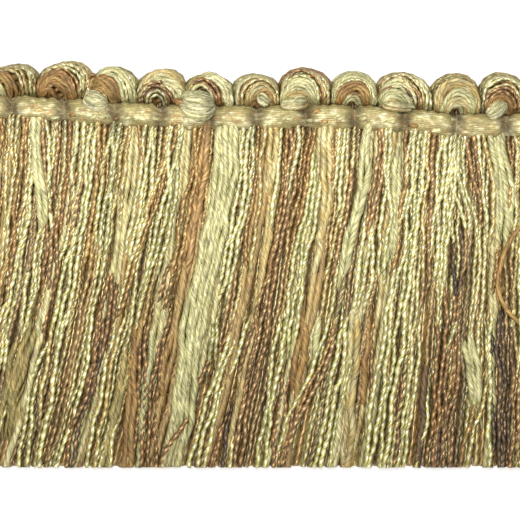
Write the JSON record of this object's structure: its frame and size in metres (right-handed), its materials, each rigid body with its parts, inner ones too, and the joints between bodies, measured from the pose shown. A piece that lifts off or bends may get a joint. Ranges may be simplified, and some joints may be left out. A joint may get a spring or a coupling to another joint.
{
  "type": "brush fringe trim",
  "caption": "Cut length of brush fringe: a row of fat yarn loops, a narrow satin ribbon across the heading, and a deep skirt of cut twisted yarns.",
  "frame": {"origin": "on the flat back of the heading, at the middle of its length and on its middle line", "axes": "+X along the heading to the right, +Y from the cut ends up to the loops, +Z out of the face"},
  "size_m": [0.1242, 0.0764, 0.0054],
  "materials": {
    "yarn": "glossy twisted rayon yarns in pale celadon, cream, olive gold, copper and dark brown",
    "ribbon": "beige-gold satin weave, sheened",
    "loop_yarn": "glossy twisted rayon yarns in celadon, cream, gold, copper and brown"
  },
  "bodies": {
    "root": {"skirt": "yarn", "ribbon": "ribbon", "loop_01": "loop_yarn", "loop_02": "loop_yarn", "loop_03": "loop_yarn", "loop_04": "loop_yarn", "loop_05": "loop_yarn", "loop_06": "loop_yarn", "loop_07": "loop_yarn", "loop_08": "loop_yarn", "loop_09": "loop_yarn", "loop_10": "loop_yarn", "loop_11": "loop_yarn", "loop_12": "loop_yarn"}
  },
  "joints": []
}
